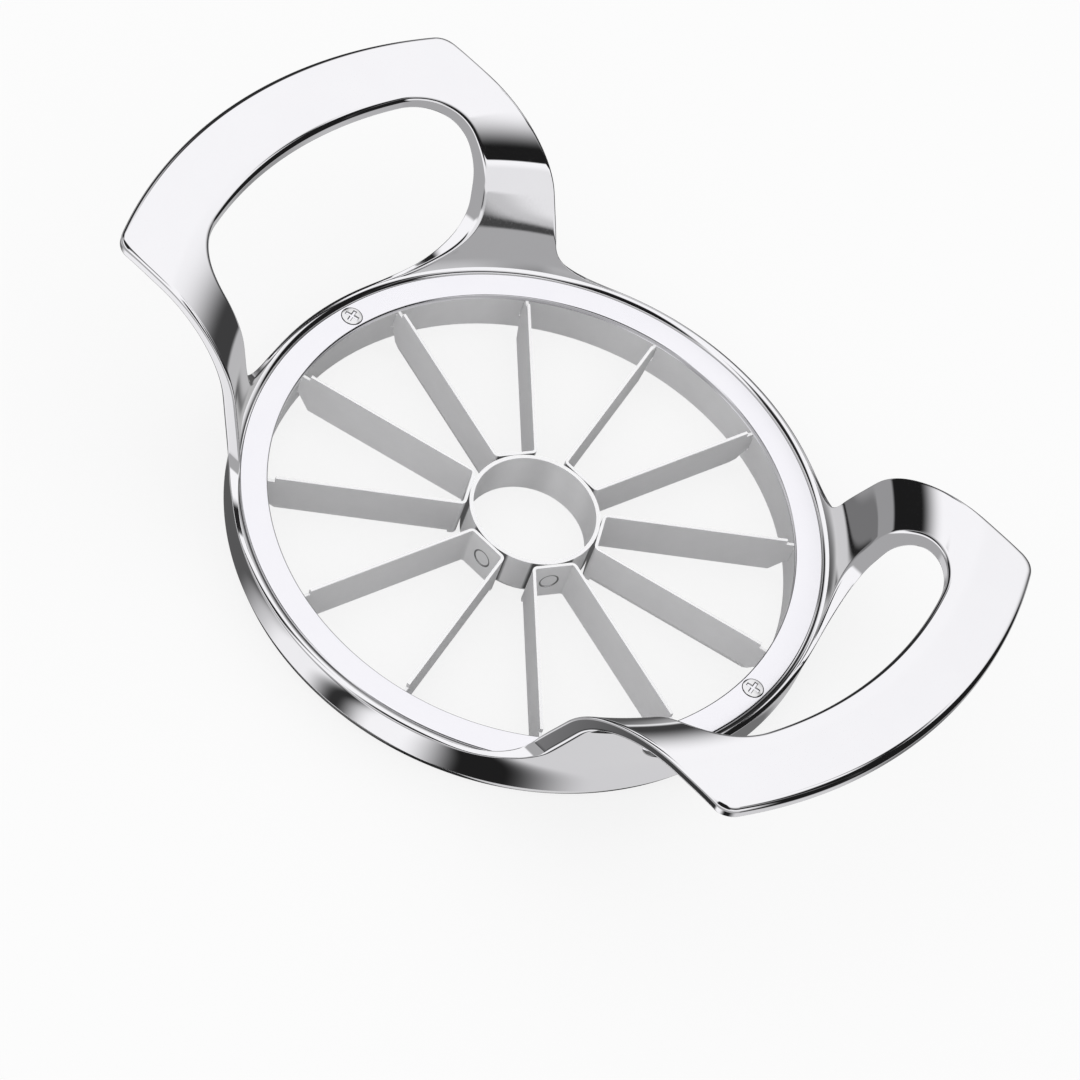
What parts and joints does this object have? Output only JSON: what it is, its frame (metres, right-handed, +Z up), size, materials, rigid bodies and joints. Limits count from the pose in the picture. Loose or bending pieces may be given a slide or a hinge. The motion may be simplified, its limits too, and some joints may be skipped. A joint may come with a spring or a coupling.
{
  "type": "apple slicer and wedger",
  "caption": "Hand-pressed fruit wedger: round cutter of thin blades round a core ring, in a chrome cast ring with two raised loop handles.",
  "frame": {"origin": "centre of the cutting ring, at the level of the board that it stands on", "axes": "+X towards one handle, +Y across the handles, +Z up, out of the ring towards the grips"},
  "size_m": [0.1802, 0.1184, 0.044],
  "materials": {
    "chrome_casting": "mirror chrome on a zinc alloy casting",
    "polished_cover": "bright polished stainless steel sheet",
    "blade_steel": "satin stainless steel strip, edges ground bright",
    "screw_steel": "bright stainless steel, countersunk"
  },
  "bodies": {
    "root": {"cast_body": "chrome_casting", "cover_ring": "polished_cover", "blade_band": "blade_steel", "core_ring": "blade_steel", "blade_strip_1": "blade_steel", "blade_strip_2": "blade_steel", "blade_strip_3": "blade_steel", "blade_strip_4": "blade_steel", "blade_strip_5": "blade_steel", "blade_strip_6": "blade_steel", "cover_screws": "screw_steel"}
  },
  "joints": []
}
